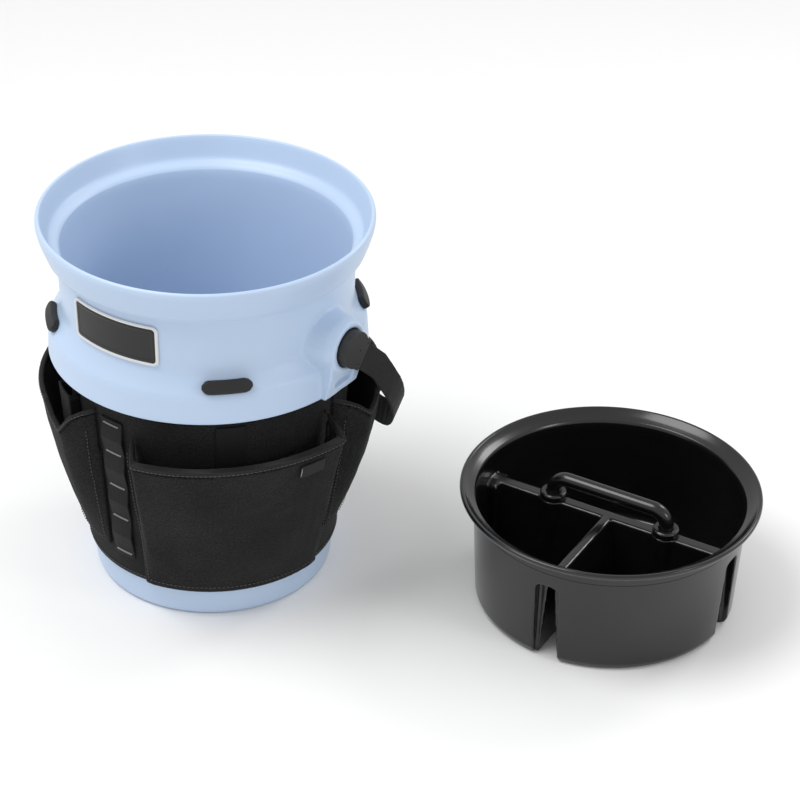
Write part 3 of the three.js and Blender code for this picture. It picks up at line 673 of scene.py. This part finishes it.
def build_badge():
    low, high = (np.array(c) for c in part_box("badge_border"))
    middle_z = (low[2] + high[2]) / 2
    neck = -low[1] - BADGE_STAND_OFF
    width = high[0] - low[0]
    height = high[2] - low[2]

    def on_neck(u, v, lift):
        radius = neck + NECK_LEAN * v + lift
        angle = math.radians(-90) + u / neck
        return (radius * math.cos(angle), radius * math.sin(angle), middle_z + v)

    inner = (width - 2 * BADGE_RIM, height - 2 * BADGE_RIM)
    border = plate("badge_rim", [
        (inner[0], inner[1], 3.4 * MM, 0.1 * MM),
        (inner[0], inner[1], 3.4 * MM, 1.3 * MM),
        (inner[0] + 1.0 * MM, inner[1] + 1.0 * MM, 3.9 * MM, 1.9 * MM),
        (width - 1.6 * MM, height - 1.6 * MM, 5.2 * MM, 2.0 * MM),
        (width - 0.5 * MM, height - 0.5 * MM, 5.8 * MM, 1.6 * MM),
        (width, height, 6.0 * MM, 0.9 * MM),
        (width, height, 6.0 * MM, 0.0 * MM),
    ], on_neck, SILVER, frame_shaped=True)
    face = plate("badge_face", [
        (inner[0] - BADGE_GAP, inner[1] - BADGE_GAP, 3.3 * MM, 0.2 * MM),
        (inner[0] - BADGE_GAP, inner[1] - BADGE_GAP, 3.3 * MM, 1.2 * MM),
        (inner[0] - 1.2 * MM, inner[1] - 1.2 * MM, 2.8 * MM, 1.5 * MM),
        (inner[0] - 6 * MM, inner[1] - 6 * MM, 1.6 * MM, 1.5 * MM),
        (inner[0] - 7.2 * MM, inner[1] - 7.2 * MM, 1.4 * MM, 1.25 * MM),
        (inner[0] - 9 * MM, inner[1] - 9 * MM, 1.2 * MM, 1.25 * MM),
        (inner[0] * 0.68, inner[1] * 0.5, 1.2 * MM, 1.25 * MM),
        (inner[0] * 0.45, inner[1] * 0.33, 1.2 * MM, 1.25 * MM),
        (inner[0] * 0.22, inner[1] * 0.16, 1.0 * MM, 1.25 * MM),
        (inner[0] * 0.06, inner[1] * 0.05, 0.5 * MM, 1.25 * MM),
    ], on_neck, BADGE)
    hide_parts("badge_border")
    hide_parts("badge_plate")
    on_bucket(border, face)


# ---- The gear belt ------------------------------------------------------------------------------

PANEL_LOW, PANEL_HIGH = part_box("belt_panel")
PANEL_RADIUS = PANEL_HIGH[0]        # outer radius at the panel's top edge
TAPER = 0.07                        # how much the belt's radius grows for each metre of height
BELT_LEVELS = 60
BELT_SKIN = 0.25 * MM               # the cloth's outer face lies this far inside the belt's radius
BELT_DEPTH = 2.6 * MM               # and its inner face this far
HEM_POINTS = 16
HEM_HALF = 1.75 * MM                # half the hem's thickness
HEM_INSET = 1.3 * MM
HEM_SQUARENESS = 0.6                # 1 makes the hem's section an ellipse, less makes it squarer
HEM_SEAM_SHIFT = 1.2 * MM


def belt_radius(z):
    return PANEL_RADIUS - TAPER * (PANEL_HIGH[2] - z)


def ring_of(name, profile, material, steps=200):
    """A closed ring about Z through (radius, z) points."""
    vertices = []
    faces = []
    count = len(profile)
    for i in range(steps):
        for radius, z in profile:
            vertices.append(polar(radius, 360 * i / steps, z))
    for i in range(steps):
        for k in range(count):
            a = i * count + k
            b = i * count + (k + 1) % count
            c = ((i + 1) % steps) * count + (k + 1) % count
            d = ((i + 1) % steps) * count + k
            faces.append((a, b, c, d))
    return new_object(name, vertices, faces, material)


def build_belt():
    z0, z1 = PANEL_LOW[2], PANEL_HIGH[2]
    levels = [z0 + (z1 - z0) * i / BELT_LEVELS for i in range(BELT_LEVELS + 1)]
    outer = [(belt_radius(z) - BELT_SKIN, z) for z in levels]
    inner = [(belt_radius(z) - BELT_DEPTH, z) for z in reversed(levels)]
    panel = ring_of("belt_cloth", outer + inner, LINING)
    wrinkle(panel, size=0.045, depth=0.5 * MM, seed=3.0)
    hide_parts("belt_panel")
    for place, shift in (("bottom", HEM_SEAM_SHIFT), ("top", -HEM_SEAM_SHIFT)):
        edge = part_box(f"belt_hem_{place}")
        low, high = edge[0][2], edge[1][2]
        middle = (low + high) / 2
        half = (high - low) / 2
        profile = []
        for i in range(HEM_POINTS):
            turn = 2 * math.pi * i / HEM_POINTS
            across, along = math.cos(turn), math.sin(turn)
            out = HEM_HALF * abs(across) ** HEM_SQUARENESS * math.copysign(1, across)
            up = half * abs(along) ** HEM_SQUARENESS * math.copysign(1, along)
            profile.append((belt_radius(middle) - HEM_INSET + out, middle + up))
        hem = ring_of(f"belt_tape_{place}", profile, TAPE)
        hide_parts(f"belt_hem_{place}")
        seam = middle + shift
        route = []
        for azimuth in range(0, 362, 2):
            route.append((polar(belt_radius(seam) + 0.5 * MM, azimuth, seam), polar(1, azimuth, 0)))
        sewing = stitch_row(f"belt_stitches_{place}", route, DARK_THREAD)
        on_bucket(hem, sewing)
    on_bucket(panel)


# The azimuths, in degrees, that each pocket is sewn between.
POCKETS = {
    "front": (-83, 0.5),
    "rear_right": (5, 79),
    "rear_left": (97, 170.5),
    "left": (-184, -102),
}
DRESS_RADIUS = 0.15                 # turns an azimuth into a distance along a pocket's cloth
# The size of each kind of fold, along a pocket's cloth and up it, in metres.
HANG_SIZE = (0.030, 0.085)
CRUMPLE_SIZE = (0.011, 0.013)
PUCKER_SIZE = (0.0045, 0.0045)
CREASE_SCALE = 0.0042
# How deep each kind is, in millimetres.
HANG_DEPTH, CRUMPLE_DEPTH, CREASE_DEPTH, PUCKER_DEPTH, GROOVE_DEPTH = 1.5, 0.3, 0.7, 0.45, 0.5
CREASE_REACH = 0.028                # creases die away over this distance from a bottom corner,
PUCKER_REACH = 0.006                # and puckers over this distance from an edge
GROOVE_WIDTH = 0.0016
MOUTH_REACH, MOUTH_CALM = 0.01, 0.6         # near its mouth a pocket is this much calmer
STANDS_CLEAR, FREE_OVER = 4 * MM, 14 * MM   # only cloth that stands off the belt is dressed
BELT_MIDDLE_Z = 0.12
SEAM_IN = 0.007                     # from a pocket's edge to the groove, and to its bottom seam
SEAM_BELOW_TOP = 18 * MM
SEAM_STEP = 3 * MM
SEAM_IN_DEGREES = 2.6
SEAM_STEP_DEGREES = 1.5
BINDING_SEAM_SHARE = 0.35           # how far up the binding its stitches run


def binding_sewing(binding, place, start, end):
    """Stitches along a pocket's binding, on its outer face."""
    points = points_of(binding)
    azimuths = azimuths_of(points)
    route = []
    for azimuth in np.arange(start + 1.2, end - 1.2, 1.0):
        near = degrees_apart(azimuths, azimuth) < 0.8
        if not near.any():
            continue
        low, high = points[near, 2].min(), points[near, 2].max()
        level = low + BINDING_SEAM_SHARE * (high - low)
        there = near & (np.abs(points[:, 2] - level) < 1.2 * MM)
        if not there.any():
            continue
        radius = np.hypot(points[there, 0], points[there, 1]).max()
        route.append((polar(radius, azimuth, level), polar(1, azimuth, 0)))
    return stitch_row(f"binding_stitches_{place}", route, DARK_THREAD, lift=0.05 * MM)


def dress(cloth, start, end, seed):
    """Gives a pocket hanging folds, creases at its corners, and puckers and a groove at its seams."""
    points = points_of(cloth)
    azimuth = azimuths_of(points)
    azimuth = np.where(azimuth > end + 40, azimuth - 360, azimuth)
    radius = np.hypot(points[:, 0], points[:, 1])
    along = np.radians(azimuth - start) * DRESS_RADIUS
    across = math.radians(end - start) * DRESS_RADIUS
    up = points[:, 2] - points[:, 2].min()
    height = up.max()
    edge = np.minimum(np.minimum(along, across - along), up)
    free = np.clip((radius - belt_radius(BELT_MIDDLE_Z) - STANDS_CLEAR) / FREE_OVER, 0, 1)
    push = np.zeros(len(points))
    for i in np.nonzero(free > 0)[0]:
        a, u = along[i], up[i]
        hang = noise.noise(Vector((a / HANG_SIZE[0], u / HANG_SIZE[1], seed)))
        crumple = noise.noise(Vector((a / CRUMPLE_SIZE[0], u / CRUMPLE_SIZE[1], seed + 5)))
        pucker = noise.noise(Vector((a / PUCKER_SIZE[0], u / PUCKER_SIZE[1], seed + 9)))
        corner = min(math.hypot(a, u), math.hypot(across - a, u))
        crease = math.sin((a + u) / CREASE_SCALE + 2 * hang) * math.exp(-corner / CREASE_REACH)
        push[i] = (HANG_DEPTH * hang + CRUMPLE_DEPTH * crumple + CREASE_DEPTH * crease) * MM
        push[i] += PUCKER_DEPTH * MM * pucker * math.exp(-max(0.0, edge[i]) / PUCKER_REACH)
        push[i] -= GROOVE_DEPTH * MM * math.exp(-((edge[i] - SEAM_IN) / GROOVE_WIDTH) ** 2)
        push[i] *= 1 - MOUTH_CALM * math.exp(-(height - u) / MOUTH_REACH)
    points[:, 0] += points[:, 0] / radius * push * free
    points[:, 1] += points[:, 1] / radius * push * free
    set_points(cloth, points)


def outer_radius(points, azimuth, z):
    """How far out a cloth reaches at an azimuth and height, or None where it isn't there."""
    near = (degrees_apart(azimuths_of(points), azimuth) < 1.0) & (np.abs(points[:, 2] - z) < 2.2 * MM)
    return float(np.hypot(points[near, 0], points[near, 1]).max()) if near.any() else None


def pocket_seams(cloth, place, start, end):
    """Rows of stitches up both side seams and along the bottom of a pocket."""
    points = points_of(cloth)
    bottom = points[:, 2].min() + SEAM_IN
    first, last = start + SEAM_IN_DEGREES, end - SEAM_IN_DEGREES
    levels = np.arange(bottom, points[:, 2].max() - SEAM_BELOW_TOP, SEAM_STEP)
    paths = [
        [(first, z) for z in levels],
        [(last, z) for z in levels],
        [(azimuth, bottom) for azimuth in np.arange(first, last, SEAM_STEP_DEGREES)],
    ]
    rows = []
    for k, path in enumerate(paths):
        route = []
        for azimuth, z in path:
            reach = outer_radius(points, azimuth, z)
            if reach is not None:
                route.append((polar(reach, azimuth, z), polar(1, azimuth, 0)))
        rows.append(stitch_row(f"pocket_stitches_{place}_{k}", route, DARK_THREAD))
    return rows


def build_pockets():
    for index, (place, (start, end)) in enumerate(POCKETS.items()):
        cloth = grown_from(f"pocket_{place}", f"pocket_cloth_{place}", CLOTH, 1.8 * MM, 6)
        dress(cloth, start, end, 10.0 * index)
        binding = grown_from(f"pocket_binding_{place}", f"pocket_tape_{place}", TAPE, 1.1 * MM, 3)
        sewing = binding_sewing(binding, place, start, end)
        seams = pocket_seams(cloth, place, start, end)
        on_bucket(cloth, binding, sewing, *seams)


LADDER_AZIMUTHS = {"front": -93.7, "rear": 87.5}
BARTACK_HEIGHTS = (206, 174, 136, 100, 60)      # millimetres
BARTACK_COUNT = 15                  # stitches in each bar
BARTACK_HALF = 8.6 * MM
BARTACK_LIFT = 2.35 * MM
BARTACK_SIDES = 5
# A bar's stitch from end to end: which side of the bar, and how high it stands.
BARTACK_FORM = ((-1, 0.0), (0, 0.55 * MM), (1, 0.0))
TAB_AZIMUTH = -21.3
# The tab's folded edge, (radius, height) in millimetres at each end; the light grey bar laid along it is a
# painted highlight on the fold.
TAB_EDGE = ((160.4, 171), (163.7, 183))


def build_webbing():
    for place, azimuth in LADDER_AZIMUTHS.items():
        strip = grown_from(f"loop_webbing_{place}", f"webbing_ladder_{place}", STRAP, 0.8 * MM, 4)
        bars = bartacks(f"bartacks_{place}", azimuth, [z * MM for z in BARTACK_HEIGHTS])
        on_bucket(strip, bars)
    inner = grown_from("inner_webbing", "inner_strip", STRAP, 0.8 * MM, 3)
    on_bucket(inner)
    sleeve = grown_from("tool_sleeve", "sewn_sleeve", CLOTH, 1.1 * MM, 10)
    on_bucket(sleeve)
    tab = grown_from("pocket_tab", "blank_tab", TAPE, 0.6 * MM, 2)
    outward = polar(1, TAB_AZIMUTH, 0)
    fold = [(polar(radius * MM, TAB_AZIMUTH, z * MM), outward) for radius, z in TAB_EDGE]
    # A light grey bar along the tab's folded edge, built as one long stitch: a painted highlight on the
    # fold.
    edge = stitch_row("tab_fold_painted_highlight", fold, GREY_THREAD_AND_PAINTED_HIGHLIGHT, length=11 * MM, gap=0.4 * MM, radius=0.5 * MM)
    on_bucket(tab, edge)


def bartacks(name, azimuth, heights):
    """Dense bars of light thread that sew a webbing down, each a row of fine crossing stitches."""
    vertices = []
    faces = []
    for z in heights:
        radius = belt_radius(z) + BARTACK_LIFT
        for i in range(BARTACK_COUNT):
            along = -BARTACK_HALF + 2 * BARTACK_HALF * i / (BARTACK_COUNT - 1)
            angle = azimuth + math.degrees(along / radius)
            out = polar(1, angle, 0)
            side = np.array((-out[1], out[0], 0))
            middle = polar(radius, angle, z)
            first = len(vertices)
            for end, rise in BARTACK_FORM:
                tilt = side * (end * 0.5 * MM)
                centre = middle + np.array((0, 0, end * 0.85 * MM)) + tilt + out * rise
                for k in range(BARTACK_SIDES):
                    turn = 2 * math.pi * k / BARTACK_SIDES
                    round_it = math.cos(turn) * side + math.sin(turn) * out * 0.8
                    vertices.append(centre + 0.62 * MM * round_it)
            faces += tube_faces(first, len(BARTACK_FORM), BARTACK_SIDES)
    return new_object(name, vertices, faces, GREY_THREAD_AND_PAINTED_HIGHLIGHT)


# ---- The bail -----------------------------------------------------------------------------------


def build_bail():
    strap = grown_from("bail_strap", "bail_webbing", STRAP, 0.9 * MM, 2)
    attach(strap, "bail")
    for side in ("right", "left"):
        cap = grown_from(f"bail_cap_{side}", f"bail_grip_{side}", CAP, 0.6 * MM, 2)
        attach(cap, "bail")


# ---- The caddy ----------------------------------------------------------------------------------

RIM_FROM = 100 * MM
RIM_LAP = 0.4 * MM                  # how far the tub's mesh runs on into the rim
# The caddy's rolled rim, (radius, height) in millimetres, up the outside, over the lip and down the inside.
CADDY_RIM = [
    (127.93, 100), (128.2, 105.6), (129.6, 108.4), (135.6, 111.4), (140, 114.4), (141.5, 117.2),
    (141.2, 119.4), (139.6, 120.3), (137.8, 119.8), (136.6, 118.4), (131.6, 114.6), (127.4, 112.8),
    (125.8, 110), (125.32, 100),
]
BAR_RADIUS = 7 * MM
BAR_CORNER = 15 * MM
BAR_BOX_SLACK = 1.2 * MM            # what the turned handle's box adds to the spacing of its legs
LEG_STEPS = 20
BEND_STEPS = 16


def swept_bar(name, centre, spacing, foot, top, material, sides=28):
    """The handle: a round bar bent into a wide U with its legs down, turned with the caddy."""
    half = (spacing - BAR_BOX_SLACK) / 2
    path = [(-half, foot + (top - BAR_CORNER - foot) * i / LEG_STEPS) for i in range(LEG_STEPS)]
    for i in range(BEND_STEPS + 1):
        turn = math.pi - math.pi / 2 * i / BEND_STEPS
        x = -half + BAR_CORNER * (1 + math.cos(turn))
        path.append((x, top - BAR_CORNER * (1 - math.sin(turn))))
    path += [(-x, z) for x, z in reversed(path)]
    across = Vector((math.cos(CADDY_TURN), math.sin(CADDY_TURN), 0))
    side = Vector((-across.y, across.x, 0))
    upright = Vector((0, 0, 1))
    vertices = []
    for i, (x, z) in enumerate(path):
        after, before = path[min(i + 1, len(path) - 1)], path[max(i - 1, 0)]
        heading = (across * (after[0] - before[0]) + upright * (after[1] - before[1])).normalized()
        normal = side.cross(heading)
        middle = Vector((centre[0], centre[1], 0)) + across * x + upright * z
        for k in range(sides):
            turn = 2 * math.pi * k / sides
            vertices.append(middle + BAR_RADIUS * (math.cos(turn) * side + math.sin(turn) * normal))
    return new_object(name, vertices, tube_faces(0, len(path), sides), material)


def build_caddy():
    low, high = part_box("caddy_tub")
    centre = ((low[0] + high[0]) / 2, (low[1] + high[1]) / 2)
    tub = grown_from("caddy_tub", "caddy_moulding", GLOSS, 1.1 * MM, 4, centre=centre, turn=CADDY_TURN)
    keep_faces(tub, points_of(tub)[:, 2] < RIM_FROM + RIM_LAP)
    rim = turned("caddy_rim", CADDY_RIM, GLOSS, centre=centre)
    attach(tub, "caddy")
    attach(rim, "caddy")
    low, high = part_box("caddy_handle")
    span = Vector((high[0] - low[0], high[1] - low[1])).length
    bar = swept_bar("caddy_bar", centre, span - 2 * BAR_RADIUS, low[2], high[2] - BAR_RADIUS, GLOSS)
    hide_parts("caddy_handle")
    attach(bar, "caddy_handle")
    for side in ("left", "right"):
        collar = grown_from(f"handle_collar_{side}", f"bar_collar_{side}", GLOSS, 0.6 * MM, 6)
        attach(collar, "caddy")
        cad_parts[f"leg_stop_{side}"].data.materials[0] = RUBBER


# ---- Assembly -----------------------------------------------------------------------------------

add_camera()
add_stage()
build_bucket()
build_badge()
build_belt()
build_pockets()
build_webbing()
build_bail()
build_caddy()
